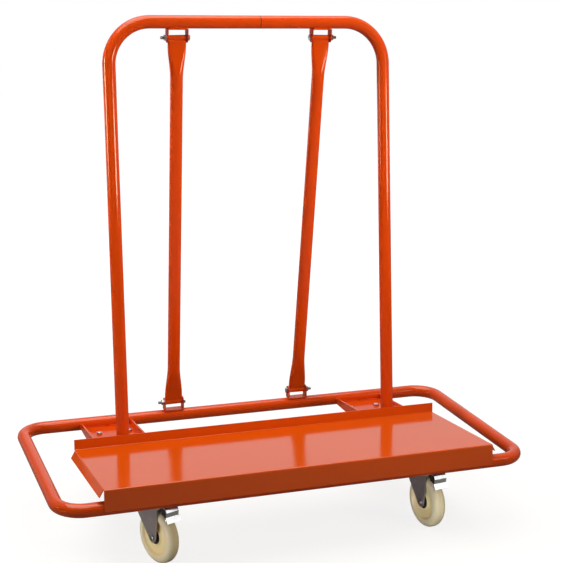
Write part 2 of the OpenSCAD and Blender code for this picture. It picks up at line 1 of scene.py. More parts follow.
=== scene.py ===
import math

import bmesh
import bpy
from mathutils import Matrix, Vector


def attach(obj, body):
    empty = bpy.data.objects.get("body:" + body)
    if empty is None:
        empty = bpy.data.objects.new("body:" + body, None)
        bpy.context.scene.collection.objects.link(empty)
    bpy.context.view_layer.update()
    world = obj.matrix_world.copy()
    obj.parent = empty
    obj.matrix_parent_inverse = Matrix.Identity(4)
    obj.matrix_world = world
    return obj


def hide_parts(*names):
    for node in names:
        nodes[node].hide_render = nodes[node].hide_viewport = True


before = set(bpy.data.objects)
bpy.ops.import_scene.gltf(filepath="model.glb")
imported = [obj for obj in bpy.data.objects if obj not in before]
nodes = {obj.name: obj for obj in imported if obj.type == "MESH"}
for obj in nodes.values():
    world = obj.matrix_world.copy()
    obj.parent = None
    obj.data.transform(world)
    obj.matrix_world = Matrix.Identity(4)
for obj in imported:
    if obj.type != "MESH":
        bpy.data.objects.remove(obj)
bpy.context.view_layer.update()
scene = bpy.context.scene

# Base loop: one round steel tube bent into a rectangle with rounded corners and welded end to end.
# It is powder coated in glossy orange-red together with all that is welded to it.
coat_orange = (0.75, 0.072, 0.0022, 1)
coat_shade = (0.69, 0.062, 0.0018, 1)
tube_r = 0.0155
loop_y, tube_z = 0.2595, 0.1755


def group_tree(name, inputs, outputs):
    tree = bpy.data.node_groups.new(name, "ShaderNodeTree")
    for label, kind, value in inputs:
        socket = tree.interface.new_socket(label, in_out="INPUT", socket_type=kind)
        socket.default_value = value
    for label, kind in outputs:
        tree.interface.new_socket(label, in_out="OUTPUT", socket_type=kind)
    return tree, tree.nodes.new("NodeGroupInput"), tree.nodes.new("NodeGroupOutput")


def add(tree, kind, values=(), **settings):
    node = tree.nodes.new(kind)
    for key, value in settings.items():
        setattr(node, key, value)
    for key, value in dict(values).items():
        node.inputs[key].default_value = value
    return node


def by_math(tree, operation, first, second=None):
    node = add(tree, "ShaderNodeMath", operation=operation)
    for socket, value in zip(node.inputs, (first, second)):
        if isinstance(value, (int, float)):
            socket.default_value = value
        elif value is not None:
            tree.links.new(value, socket)
    return node.outputs[0]


def cured_coat_skin():
    # Slow colour drift of the cured powder, its fine orange peel and its patchy gloss
    tree, gin, gout = group_tree(
        "cured_coat_skin",
        [("Colour", "NodeSocketColor", coat_orange), ("Shade", "NodeSocketColor", coat_shade),
         ("Gloss roughness", "NodeSocketFloat", 0.07), ("Patchiness", "NodeSocketFloat", 0.08),
         ("Peel size", "NodeSocketFloat", 450.0)],
        [("Colour", "NodeSocketColor"), ("Roughness", "NodeSocketFloat"), ("Height", "NodeSocketFloat")])
    place = add(tree, "ShaderNodeTexCoord")
    drift = add(tree, "ShaderNodeTexNoise", {"Scale": 7.0, "Detail": 3.0, "Roughness": 0.5})
    patch = add(tree, "ShaderNodeTexNoise", {"Scale": 38.0, "Detail": 4.0, "Roughness": 0.6})
    peel = add(tree, "ShaderNodeTexNoise", {"Detail": 1.5, "Roughness": 0.4})
    for noise in (drift, patch, peel):
        tree.links.new(place.outputs["Object"], noise.inputs["Vector"])
    tree.links.new(gin.outputs["Peel size"], peel.inputs["Scale"])
    tint = add(tree, "ShaderNodeMix", data_type="RGBA")
    tree.links.new(drift.outputs["Fac"], tint.inputs["Factor"])
    tree.links.new(gin.outputs["Colour"], tint.inputs["A"])
    tree.links.new(gin.outputs["Shade"], tint.inputs["B"])
    tree.links.new(tint.outputs["Result"], gout.inputs["Colour"])
    dulled = by_math(tree, "MULTIPLY", patch.outputs["Fac"], gin.outputs["Patchiness"])
    tree.links.new(by_math(tree, "ADD", dulled, gin.outputs["Gloss roughness"]), gout.inputs["Roughness"])
    tree.links.new(peel.outputs["Fac"], gout.inputs["Height"])
    return tree


coat_skin = cured_coat_skin()


def material(name, **constants):
    made = bpy.data.materials.new(name)
    made.use_nodes = True
    shader = made.node_tree.nodes["Principled BSDF"]
    for key, value in constants.items():
        shader.inputs[key.replace("_", " ")].default_value = value
    return made, made.node_tree, shader


def skin(made_tree, shader, group, bump_strength, bump_depth, **values):
    # Places a skin group in a material: its colour, roughness and height feed the shader
    use = made_tree.nodes.new("ShaderNodeGroup")
    use.node_tree = group
    for key, value in values.items():
        use.inputs[key.replace("_", " ")].default_value = value
    made_tree.links.new(use.outputs["Colour"], shader.inputs["Base Color"])
    made_tree.links.new(use.outputs["Roughness"], shader.inputs["Roughness"])
    bump = add(made_tree, "ShaderNodeBump", {"Strength": bump_strength, "Distance": bump_depth})
    made_tree.links.new(use.outputs["Height"], bump.inputs["Height"])
    made_tree.links.new(bump.outputs["Normal"], shader.inputs["Normal"])


powder_coat, coat_tree, coat_shader = material("powder_coat", IOR=1.52)
skin(coat_tree, coat_shader, coat_skin, bump_strength=0.08, bump_depth=0.0003)


def round_edges(piece, width, least_angle=35):
    rounding = piece.modifiers.new("rounded_edges", "BEVEL")
    rounding.width = width
    rounding.segments = 2
    rounding.limit_method = "ANGLE"
    rounding.angle_limit = math.radians(least_angle)
    rounding.use_clamp_overlap = True
    piece.modifiers.new("even_shading", "WEIGHTED_NORMAL").keep_sharp = True


join_gap = 0.00001


def dress(node, finish, edge=0.0):
    # Gives a CAD node its finish and rounds its edges by the given width, in metres
    piece = nodes[node]
    piece.data.materials.clear()
    piece.data.materials.append(finish)
    if edge:
        weld = piece.modifiers.new("joined_faces", "WELD")
        weld.merge_threshold = join_gap
        round_edges(piece, edge)


dress("base_loop", powder_coat)

# Cross channels: folded steel plates with two upturned lips that rise behind the deck, coped to the
# tubes and welded. The casters and the feet of the hoop are bolted to their floors.
channel_x, channel_half = 0.346, 0.065
floor_z, channel_under = 0.169, 0.165
sheet_edge = 0.0006
for side in ("left", "right"):
    dress(side + "_cross_channel", powder_coat, sheet_edge)

# Frame welds: rippled fillet beads where the channels meet the tubes, laid by hand before coating.
# Short stitches hold the deck's front flange to the front tube.
ripple, bead_step, bead_sides, bead_crease = 0.0032, 0.0008, 10, 60
valley, crest, crescent, end_round, end_least = 0.82, 0.2, 0.35, 1.2, 0.04
floor_bead, cope_bead, under_bead, stitch_bead = 0.0024, 0.002, 0.0022, 0.0016
floor_run, floor_gap, under_run = 0.059, 0.004, 0.062
cope_run, cope_steps = 0.0165, 8
bead_lift, bead_clear = 0.0006, 0.0004
stitch_places = (-0.30, -0.285, -0.02, 0.0, 0.285, 0.30)
stitch_half, stitch_y, stitch_z = 0.006, -0.2756, 0.1725


def finished(name, built, finish, body, stands_for=(), crease=32):
    # Turns built geometry into a piece that rides on a body and may stand for CAD nodes
    mesh = bpy.data.meshes.new(name)
    bmesh.ops.recalc_face_normals(built, faces=built.faces)
    built.to_mesh(mesh)
    built.free()
    for face in mesh.polygons:
        face.use_smooth = True
    mesh.set_sharp_from_angle(angle=math.radians(crease))
    mesh.materials.append(finish)
    piece = bpy.data.objects.new(name, mesh)
    scene.collection.objects.link(piece)
    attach(piece, body)
    if stands_for:
        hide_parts(*stands_for)
    return piece


def skin_rings(built, rings, hollow=False):
    # Joins rings of points, each a closed loop of the same count, into a skin: its ends are capped, or
    # joined to each other where the piece is hollow
    made = [[built.verts.new(point) for point in ring] for ring in rings]
    count = len(made[0])
    pairs = list(zip(made, made[1:]))
    if hollow:
        pairs.append((made[-1], made[0]))
    for low, high in pairs:
        for k in range(count):
            built.faces.new((low[k], low[(k + 1) % count], high[(k + 1) % count], high[k]))
    if not hollow:
        built.faces.new(list(reversed(made[0])))
        built.faces.new(made[-1])


def weld_bead(built, path, radius):
    # A bead along a path of points: overlapping crescents, tapered at both ends
    points = [Vector(point) for point in path]
    lengths = [0.0]
    for a, b in zip(points, points[1:]):
        lengths.append(lengths[-1] + (b - a).length)
    total = lengths[-1]
    steps = max(8, int(total / bead_step))
    rings = []
    for i in range(steps + 1):
        s = total * i / steps
        k = max(j for j in range(len(points) - 1) if lengths[j] <= s + 1e-9)
        span = lengths[k + 1] - lengths[k]
        here = points[k].lerp(points[k + 1], (s - lengths[k]) / span)
        along = (points[k + 1] - points[k]).normalized()
        side = along.cross(Vector((0, 0, 1)) if abs(along.z) < 0.9 else Vector((0, 1, 0))).normalized()
        rise = side.cross(along)
        swell = valley + crest * abs(math.sin(math.pi * s / ripple))
        end = min(1.0, min(s, total - s) / (end_round * radius))
        r = radius * swell * math.sqrt(max(end_least, 1 - (1 - end) ** 2))
        ring = []
        for j in range(bead_sides):
            angle = 2 * math.pi * j / bead_sides
            lag = along * (crescent * radius * (1 - abs(math.sin(angle))) if 0 < i < steps else 0)
            ring.append(here + (side * math.cos(angle) + rise * math.sin(angle)) * r - lag)
        rings.append(ring)
    skin_rings(built, rings)


welds = bmesh.new()
for sx in (-1, 1):
    middle = sx * channel_x
    for sy in (-1, 1):
        over_y = sy * (loop_y - math.sqrt(tube_r ** 2 - (tube_z - floor_z) ** 2))
        under_y = sy * (loop_y - math.sqrt(tube_r ** 2 - (tube_z - channel_under) ** 2))
        for span in (-1, 1):
            weld_bead(welds, [(middle + span * floor_run, over_y, floor_z + bead_lift),
                              (middle + span * floor_gap, over_y, floor_z + bead_lift)], floor_bead)
            # Up the outer side of each lip, along the cope
            cope = []
            for step in range(cope_steps + 1):
                z = channel_under + cope_run * step / cope_steps
                on_tube = loop_y - math.sqrt(tube_r ** 2 - (z - tube_z) ** 2)
                cope.append((middle + span * (channel_half + bead_clear), sy * (on_tube - bead_clear), z))
            weld_bead(welds, cope, cope_bead)
        weld_bead(welds, [(middle - under_run, under_y, channel_under - bead_clear),
                          (middle + under_run, under_y, channel_under - bead_clear)], under_bead)
for x in stitch_places:
    weld_bead(welds, [(x - stitch_half, stitch_y, stitch_z), (x + stitch_half, stitch_y, stitch_z)],
              stitch_bead)
finished("channel_welds", welds, powder_coat, "frame", crease=bead_crease)

# Deck tray: one folded steel sheet with a lip up at the rear, a flange down over the front tube and
# splayed end flanges, bent on a press with small radii. The coat lies smoother here than on the tube.
deck_front, deck_rise, sheet, deck_half = -0.0175, 0.046, 0.002, 0.467
lip_top, flange_low, lip_gap = 0.070, -0.004, 0.0005
deck_tilt, splay = math.radians(5.3), math.radians(60)
bend_r, fold_steps, deck_edge, panel_split = 0.0025, 6, 0.0004, 0.2
relief, fold_inset, end_flange, end_cut = 0.0045, 0.0006, 0.020, 0.003
hoop_y, foot_z, hoop_lean = 0.0615, 0.174, math.radians(7.5)
# The lip stands just in front of the leaning legs of the hoop
legs_front = hoop_y - tube_r / math.cos(hoop_lean) - lip_gap
deck_under = deck_rise - sheet
deck_back = ((legs_front + (tube_z + deck_under * math.cos(deck_tilt) - foot_z) * math.tan(hoop_lean)
              - deck_under * math.sin(deck_tilt) + loop_y)
             / (math.cos(deck_tilt) + math.sin(deck_tilt) * math.tan(hoop_lean)))
# The deck's colour is a little more orange than the tube coat's: a painted warm sheen, standing in for the
# warmer look its top has in the light.
deck_orange_with_sheen = (0.75, 0.094, 0.0026, 1)
deck_shade_with_sheen = (0.70, 0.085, 0.0022, 1)
deck_coat, deck_tree, deck_shader = material("deck_coat", IOR=1.6)
skin(deck_tree, deck_shader, coat_skin, bump_strength=0.05, bump_depth=0.0003, Colour=deck_orange_with_sheen,
     Shade=deck_shade_with_sheen, Gloss_roughness=0.1, Patchiness=0.06, Peel_size=350.0)


def bent_strip(corners, thickness, radius):
    # Closed outline of a folded strip: the corners of its middle line, filleted and given a thickness
    middle = [Vector(corners[0])]
    for before, corner, after in zip(corners, corners[1:], corners[2:]):
        corner = Vector(corner)
        back = (Vector(before) - corner).normalized()
        on = (Vector(after) - corner).normalized()
        half = math.acos(max(-1, min(1, back.dot(on)))) / 2
        reach = radius / math.tan(half)
        centre = corner + (back + on).normalized() * radius / math.sin(half)
        start = corner + back * reach - centre
        end = corner + on * reach - centre
        for step in range(fold_steps + 1):
            turn = start.lerp(end, step / fold_steps).normalized() * radius
            middle.append(centre + turn)
    middle.append(Vector(corners[-1]))
    one, other = [], []
    for i, point in enumerate(middle):
        along = (middle[min(i + 1, len(middle) - 1)] - middle[max(i - 1, 0)]).normalized()
        off = Vector((-along.y, along.x)) * thickness / 2
        one.append(point + off)
        other.append(point - off)
    return one, other


def folded(built, strip, place, stations, open_fold=None, open_edge=False):
    # Sweeps a folded strip through stations; the given flat of its first and last bay is left out,
    # and a strip with an open edge has no wall where it runs on from the flat of another
    one, other = strip
    n = len(one)
    count = 2 * n
    made = []
    for station in stations:
        ring = [place(p, station, i / (n - 1)) for i, p in enumerate(one)]
        ring += [place(p, station, 1 - i / (n - 1)) for i, p in enumerate(reversed(other))]
        made.append([built.verts.new(point) for point in ring])
    for bay, (low, high) in enumerate(zip(made, made[1:])):
        left_out = (count - 1,) if open_edge else ()
        if open_fold is not None and bay in (0, len(made) - 2):
            left_out = (open_fold, count - 2 - open_fold)
            for k in (open_fold, open_fold + 1):
                built.faces.new((low[k], high[k], high[count - 1 - k], low[count - 1 - k]))
        for k in range(count):
            if k not in left_out:
                built.faces.new((low[k], low[(k + 1) % count], high[(k + 1) % count], high[k]))
    for ring, flip in ((made[0], 1), (made[-1], -1)):
        for k in range(n - 1):
            if k != open_fold:
                built.faces.new([ring[k], ring[count - 1 - k], ring[count - 2 - k], ring[k + 1]][::flip])


def on_deck(x, u, v):
    # Deck coordinates: u back from the front tube's axis and v up, square to the tilted deck
    return Vector((x, -loop_y + u * math.cos(deck_tilt) + v * math.sin(deck_tilt),
                   tube_z - u * math.sin(deck_tilt) + v * math.cos(deck_tilt)))


deck = bmesh.new()
mid = deck_rise - sheet / 2
flat_end = deck_half - relief
lip_u = deck_back - sheet / 2
flange_u = deck_front + sheet / 2
panel = bent_strip([(lip_u, lip_top), (lip_u, mid), (flange_u, mid), (flange_u, flange_low)], sheet, bend_r)
# Between its folds the flat stops at the reliefs, where the end flanges take over
folded(deck, panel, lambda p, x, share: on_deck(x, p.x, p.y),
       (-deck_half, -flat_end, -panel_split, panel_split, flat_end, deck_half), open_fold=fold_steps + 1)
end_fold = deck_half - fold_inset
for sx in (-1, 1):
    flange = bent_strip([(flat_end, mid), (end_fold, mid),
                         (end_fold + end_flange * math.cos(splay), mid - end_flange * math.sin(splay))],
                        sheet, bend_r)
    folded(deck, flange,
           lambda p, u, share, sx=sx: on_deck(sx * p.x, u[0] + u[1] * end_cut * share, p.y),
           ((flange_u + bend_r, 1), (lip_u - bend_r, -1)), open_edge=True)
bmesh.ops.remove_doubles(deck, verts=deck.verts, dist=join_gap)
made = finished("folded_deck", deck, deck_coat, "frame", ["deck_tray"])
round_edges(made, deck_edge, least_angle=60)

# Deck supports: folded steel angles that stand on the channel floors between the lips and carry the rear
# of the deck. They are coated with the frame.
for side in ("left", "right"):
    dress(side + "_deck_support", powder_coat, sheet_edge)

# Hoop: two bent steel tubes with welded foot plates, joined in the top bar over an inner sleeve.
# The tubes are coated, a fine dark line shows where they meet, and the sleeve is plain drawn steel.
bar_z = 1.1755
bar_y = hoop_y + (bar_z - foot_z) * math.tan(hoop_lean)
seam_x, seam_half, seam_depth, seam_proud = 0.024, 0.0011, 0.0010, 0.00006
foot_bead, foot_bead_r, foot_bead_steps = 0.0026, tube_r + bead_lift, 32
dark_steel = (0.20, 0.20, 0.21, 1)
bright_steel = (0.52, 0.53, 0.55, 1)


def drawn_metal_skin():
    # Fine drawn lines along one way, cloudy plating and small rough patches
    tree, gin, gout = group_tree(
        "drawn_metal_skin",
        [("Colour", "NodeSocketColor", bright_steel), ("Shade", "NodeSocketColor", dark_steel),
         ("Plain roughness", "NodeSocketFloat", 0.3), ("Cloud size", "NodeSocketFloat", 60.0),
         ("Line size", "NodeSocketFloat", 900.0)],
        [("Colour", "NodeSocketColor"), ("Roughness", "NodeSocketFloat"), ("Height", "NodeSocketFloat")])
    place = add(tree, "ShaderNodeTexCoord")
    cloud = add(tree, "ShaderNodeTexNoise", {"Detail": 4.0, "Roughness": 0.55})
    stretch = add(tree, "ShaderNodeMapping", {"Scale": (1.0, 1.0, 0.06)})
    lines = add(tree, "ShaderNodeTexNoise", {"Detail": 2.0, "Roughness": 0.5})
    tree.links.new(place.outputs["Object"], cloud.inputs["Vector"])
    tree.links.new(place.outputs["Object"], stretch.inputs["Vector"])
    tree.links.new(stretch.outputs["Vector"], lines.inputs["Vector"])
    tree.links.new(gin.outputs["Cloud size"], cloud.inputs["Scale"])
    tree.links.new(gin.outputs["Line size"], lines.inputs["Scale"])
    tint = add(tree, "ShaderNodeMix", data_type="RGBA")
    tree.links.new(cloud.outputs["Fac"], tint.inputs["Factor"])
    tree.links.new(gin.outputs["Colour"], tint.inputs["A"])
    tree.links.new(gin.outputs["Shade"], tint.inputs["B"])
    tree.links.new(tint.outputs["Result"], gout.inputs["Colour"])
    dulled = by_math(tree, "MULTIPLY", cloud.outputs["Fac"], 0.18)
    tree.links.new(by_math(tree, "ADD", dulled, gin.outputs["Plain roughness"]), gout.inputs["Roughness"])
    tree.links.new(lines.outputs["Fac"], gout.inputs["Height"])
    return tree


metal_skin = drawn_metal_skin()
plain_steel, steel_tree, steel_shader = material("plain_steel", Metallic=1.0)
skin(steel_tree, steel_shader, metal_skin, bump_strength=0.1, bump_depth=0.0002)
for side in ("left", "right"):
    dress(side + "_upright", powder_coat, sheet_edge)
dress("hoop_joint_sleeve", plain_steel)
# Lays what is turned about Z along X
along_x = Matrix.Rotation(math.radians(90), 4, "Y")


def lathe(built, section, place, steps):
    # Turns a closed section of (radius, height) points about the local Z axis of a placing matrix
    rings = []
    for r, h in section:
        rings.append([place @ Vector((r * math.cos(2 * math.pi * k / steps),
                                      r * math.sin(2 * math.pi * k / steps), h)) for k in range(steps)])
    skin_rings(built, rings, hollow=True)


seam_line = (0.10, 0.012, 0.004, 1)
seam_shade = (0.05, 0.008, 0.003, 1)
seam_finish, seam_tree, seam_shader = material("seam_line")
skin(seam_tree, seam_shader, coat_skin, bump_strength=0.05, bump_depth=0.0002, Colour=seam_line,
     Shade=seam_shade, Gloss_roughness=0.5)
seam = bmesh.new()
seam_in, seam_out = tube_r - seam_depth, tube_r + seam_proud
lathe(seam, [(seam_in, -seam_half), (seam_out, -seam_half), (seam_out, seam_half), (seam_in, seam_half)],
      Matrix.Translation((seam_x, bar_y, bar_z)) @ along_x, steps=64)
for point in seam.verts:
    # The line ends level with the top of the bar
    point.co.z = min(point.co.z, bar_z + tube_r)
finished("hoop_seam", seam, seam_finish, "frame")

foot_welds = bmesh.new()
for sx in (-1, 1):
    ring = []
    for k in range(foot_bead_steps + 1):
        angle = 2 * math.pi * k / foot_bead_steps
        ring.append((sx * channel_x + foot_bead_r * math.cos(angle),
                     hoop_y + foot_bead_r / math.cos(hoop_lean) * math.sin(angle), foot_z + bead_clear))
    weld_bead(foot_welds, ring, foot_bead)
finished("hoop_foot_welds", foot_welds, powder_coat, "frame", crease=bead_crease)

# Foot bolts and nuts: zinc-plated M8 hexagon fasteners with cut threads and chamfered corners, that
# hold the feet of the hoop to the channel floors.
bolt_r, thread_pitch, thread_depth = 0.004, 0.00125, 0.00062
bolt_flats, head_h, nut_h = 0.013, 0.0053, 0.0065
turned_share, corner_slope, hex_steps = 0.475, math.radians(30), 36
countersink, countersink_depth, nut_bite, head_sink = 0.0006, 0.0005, 0.0003, 0.0005
thread_steps, pitch_rows, thread_root, tip_cut = 20, 6, 1.25, 0.8
tip_taper, thread_runout = 0.0009, 0.0004
foot_bolt_x, foot_bolt_l, foot_plain = 0.031, 0.017, 0.004
zinc_bright = (0.74, 0.75, 0.77, 1)
zinc_cloud = (0.52, 0.53, 0.56, 1)
zinc_plating, zinc_tree, zinc_shader = material("zinc_plating", Metallic=1.0)
skin(zinc_tree, zinc_shader, metal_skin, bump_strength=0.08, bump_depth=0.0001, Colour=zinc_bright,
     Shade=zinc_cloud, Plain_roughness=0.2, Cloud_size=160.0, Line_size=1500.0)


def hexagon(built, place, flats, low, high, both_ends, bore=0.0):
    # A forged hexagon from low to high: its corners are turned off at one end or at both, and a bore
    # is countersunk at both ends
    turned = turned_share * flats
    corners = []
    for k in range(hex_steps):
        angle = 2 * math.pi * k / hex_steps
        rho = flats / 2 / math.cos((angle + math.pi / 6) % (math.pi / 3) - math.pi / 6)
        corners.append((angle, rho, max(0.0, rho - turned) * math.tan(corner_slope)))

    def round_ring(radius, height):
        return [place @ Vector((radius * math.cos(angle), radius * math.sin(angle), height))
                for angle, rho, drop in corners]

    def hex_ring(height, drop_share):
        return [place @ Vector((rho * math.cos(angle), rho * math.sin(angle), height + drop_share * drop))
                for angle, rho, drop in corners]

    rings = [round_ring(bore + countersink, low)] if bore else []
    if both_ends:
        rings += [round_ring(turned, low), hex_ring(low, 1)]
    else:
        rings.append(hex_ring(low, 0))
    rings += [hex_ring(high, -1), round_ring(turned, high)]
    if bore:
        rings += [round_ring(bore + countersink, high), round_ring(bore, high - countersink_depth),
                  round_ring(bore, low + countersink_depth)]
    skin_rings(built, rings, hollow=bore > 0)


def shank(built, place, radius, low, high, cut_from):
    # A bolt's shank from its tip (low) up to its head (high), threaded from the tip up to cut_from
    heights = []
    z = low
    while z < cut_from:
        heights.append(z)
        z += thread_pitch / pitch_rows
    heights += [cut_from, cut_from + thread_runout, high]
    rings = []
    for z in heights:
        ring = []
        for k in range(thread_steps):
            angle = 2 * math.pi * k / thread_steps
            wave = abs(((z - low) / thread_pitch + k / thread_steps) % 1 - 0.5) * 2
            groove = thread_depth * min(1.0, thread_root * wave) if z < cut_from else 0.0
            r = radius - max(groove, tip_cut * thread_depth * max(0.0, 1 - (z - low) / tip_taper))
            ring.append(place @ Vector((r * math.cos(angle), r * math.sin(angle), z)))
        rings.append(ring)
    skin_rings(built, rings)


def turned_a_little(k):
    # Tightened heads stop at different angles
    return Matrix.Rotation(math.radians((k * 37 + 11) % 60), 4, "Z")


def bolted(bolts, nuts, place, head_seat, nut_seat, tip, cut_from, head=head_h, nut=nut_h):
    # A bolt with its head on one seat, threaded from its tip up to cut_from, and its nut on the other
    hexagon(bolts, place, bolt_flats, head_seat, head_seat + head, both_ends=False)
    shank(bolts, place, bolt_r, tip, head_seat + head_sink, cut_from)
    hexagon(nuts, place, bolt_flats, nut_seat - nut, nut_seat, both_ends=True, bore=bolt_r - nut_bite)


foot_bolts, foot_nuts = bmesh.new(), bmesh.new()
for k, (sx, sb) in enumerate(((-1, -1), (-1, 1), (1, -1), (1, 1))):
    place = Matrix.Translation((sx * channel_x + sb * foot_bolt_x, hoop_y, 0)) @ turned_a_little(k)
    bolted(foot_bolts, foot_nuts, place, foot_z, channel_under, foot_z - foot_bolt_l, foot_z - foot_plain)
finished("foot_bolt_set", foot_bolts, zinc_plating, "frame", ["foot_bolts"])
finished("foot_nut_set", foot_nuts, zinc_plating, "frame", ["foot_nuts"])

# Clevises: small folded steel brackets with round ears, welded under the top bar and on the rear
# tube along both sides of their bases, then coated with the frame.
brace_shift, brace_top_x, brace_foot_x = 0.0015, 0.1815, 0.169
brace_top_z, brace_foot_z, clevis_half = 1.139, 0.212, 0.02525
clevis_base_half, clevis_bead_half, clevis_bead_lift = 0.009, 0.023, 0.0016
for side in ("left", "right"):
    dress(side + "_top_clevis", powder_coat, sheet_edge)
    dress(side + "_foot_clevis", powder_coat, sheet_edge)
clevis_welds = bmesh.new()
for sx in (-1, 1):
    for x, y, z, sz in ((brace_shift + sx * brace_top_x, bar_y, bar_z, -1),
                        (brace_shift + sx * brace_foot_x, loop_y, tube_z, 1)):
        for sy in (-1, 1):
            bead_y = y + sy * (clevis_base_half + bead_clear)
            bead_z = z + sz * (math.sqrt(tube_r ** 2 - clevis_base_half ** 2) + clevis_bead_lift)
            weld_bead(clevis_welds, [(x - clevis_bead_half, bead_y, bead_z),
                                     (x + clevis_bead_half, bead_y, bead_z)], under_bead)
finished("clevis_welds", clevis_welds, powder_coat, "frame", crease=bead_crease)

# Braces: steel tubes pressed flat at both ends and rolled into eyes for the clevis bolts, coated.
# The flat widens as it thins, and a crease shows where it turns into the eye.
eye_half, eye_r, eye_bore, eye_round = 0.0224, 0.0065, 0.0045, 0.001
flat_t, flat_mid, flat_from, round_from = 0.010, 0.012, 0.018, 0.097
crease_from, crease_at, crease_to, crease_depth = 0.0045, 0.0075, 0.009, 0.0022
brace_sides, taper_steps = 44, 22


def roundness(s):
    # How far the tube is still round: 0 on the flat and 1 past the taper
    share = min(1.0, max(0.0, (s - flat_from) / (round_from - flat_from)))
    return share * share * (3 - 2 * share)


for side, sx in (("left", -1), ("right", 1)):
    foot = Vector((brace_shift + sx * brace_foot_x, loop_y, brace_foot_z))
    top = Vector((brace_shift + sx * brace_top_x, bar_y, brace_top_z))
    up_brace = (top - foot).normalized()
    across_brace = (Vector((1, 0, 0)) - up_brace * up_brace.x).normalized()
    out_brace = up_brace.cross(across_brace)
    length = (top - foot).length
    stations = [crease_from, (crease_from + crease_at) / 2, crease_at, crease_to, flat_mid, flat_from]
    stations += [flat_from + (round_from - flat_from) * k / taper_steps for k in range(1, taper_steps + 1)]
    stations = stations + [length / 2] + [length - s for s in reversed(stations)]
    brace = bmesh.new()
    rings = []
    for s in stations:
        near = min(s, length - s)
        share = roundness(near)
        thick = flat_t + (2 * tube_r - flat_t) * share
        if near < crease_to:
            thick = flat_t - crease_depth * (1 - abs(near - crease_at) / (crease_at - crease_from))
        wide = 2 * eye_half + (2 * tube_r - 2 * eye_half) * share
        ring = []
        for k in range(brace_sides):
            angle = 2 * math.pi * (k + 0.5) / brace_sides
            flat_part = (wide - thick) / 2 * (1 if math.cos(angle) > 0 else -1)
            ring.append(foot + up_brace * s + across_brace * (flat_part + thick / 2 * math.cos(angle))
                        + out_brace * (thick / 2 * math.sin(angle)))
        rings.append(ring)
    skin_rings(brace, rings)
    for centre in (foot, top):
        turn = Matrix((across_brace, out_brace, up_brace)).transposed().to_4x4()
        lathe(brace, [(eye_bore, -eye_half), (eye_r - eye_round, -eye_half), (eye_r, -eye_half + eye_round),
                      (eye_r, eye_half - eye_round), (eye_r - eye_round, eye_half), (eye_bore, eye_half)],
              Matrix.Translation(centre) @ turn @ along_x, steps=36)
    finished(side + "_pressed_brace", brace, powder_coat, "frame", [side + "_brace"],
             crease=40)

# Clevis bolts and nuts: long zinc-plated M8 bolts through the ears of the clevises and the eyes of the
# braces, with their threads outward.
thread_show, thread_in = 0.008, 0.004
clevis_bolts, clevis_nuts = bmesh.new(), bmesh.new()
clevis_places = [(sx, brace_shift + sx * x, y, z) for sx in (-1, 1)
                 for x, y, z in ((brace_top_x, bar_y, brace_top_z), (brace_foot_x, loop_y, brace_foot_z))]
for k, (sx, x, y, z) in enumerate(clevis_places):
    # Local Z points back along the bolt, from its threaded end to its head
    place = (Matrix.Translation((x, y, z)) @ Matrix.Rotation(math.radians(-90 * sx), 4, "Y")
             @ turned_a_little(k + 3))
    bolted(clevis_bolts, clevis_nuts, place, clevis_half, -clevis_half,
           -clevis_half - nut_h - thread_show, -clevis_half + thread_in)
finished("clevis_bolt_set", clevis_bolts, zinc_plating, "frame", ["clevis_bolts"])
finished("clevis_nut_set", clevis_nuts, zinc_plating, "frame", ["clevis_nuts"])

# Caster bolts and nuts: zinc-plated M8 bolts through the channel floors and the caster plates, four to
# a caster, with their nuts under the plates.
caster_x, caster_y, plate_t = 0.3375, 0.156, 0.004
hole_x, hole_y = 0.0375, 0.040
caster_bolt_l, caster_plain = 0.016, 0.006
caster_bolts, caster_nuts = bmesh.new(), bmesh.new()
bolt_places = [(sx * caster_x + hx * hole_x, sy * caster_y + hy * hole_y)
               for sx in (-1, 1) for sy in (-1, 1) for hx in (-1, 1) for hy in (-1, 1)]
for k, (x, y) in enumerate(bolt_places):
    bolted(caster_bolts, caster_nuts, Matrix.Translation((x, y, 0)) @ turned_a_little(k + 1),
           floor_z, channel_under - plate_t, floor_z - caster_bolt_l, floor_z - caster_plain)
finished("caster_bolt_set", caster_bolts, zinc_plating, "frame", ["caster_bolts"])
finished("caster_nut_set", caster_nuts, zinc_plating, "frame", ["caster_nuts"])

# Casters: pressed zinc-plated steel top plates and forks that turn on balls around a king pin.
# The forks are passivated to a dull grey with a faint purple cast.
pressed_edge = 0.0005
fork_grey = (0.52, 0.465, 0.485, 1)
fork_cloud = (0.38, 0.335, 0.35, 1)
pressed_zinc, pressed_tree, pressed_shader = material("pressed_zinc", Metallic=0.75)
skin(pressed_tree, pressed_shader, metal_skin, bump_strength=0.08, bump_depth=0.0002, Colour=fork_grey,
     Shade=fork_cloud, Plain_roughness=0.3, Cloud_size=45.0, Line_size=700.0)
casters = (("front_left", -1, -1, 20), ("front_right", 1, -1, 7), ("rear_left", -1, 1, 168),
           ("rear_right", 1, 1, 190))
for corner, sx, sy, turn in casters:
    dress(corner + "_top_plate", pressed_zinc, pressed_edge)
    dress(corner + "_king_pin", plain_steel)
    dress(corner + "_swivel_balls", plain_steel)
    dress(corner + "_fork", pressed_zinc, pressed_edge)

# Axles: zinc-plated M8 bolts across the forks, that carry the wheel bearings. The head is on one cheek
# of the fork and a thin nut on the other.
trail, axle_z, cheek_out = 0.038, 0.0635, 0.0193
axle_head, axle_nut, axle_end = 0.0045, 0.0045, 0.001


def on_caster(sx, sy, turn, ahead, z):
    # Places a piece in a caster's own frame: X across the fork and Y back along it
    return (Matrix.Translation((sx * caster_x, sy * caster_y, z))
            @ Matrix.Rotation(math.radians(turn), 4, "Z") @ Matrix.Translation((0, -ahead, 0)))


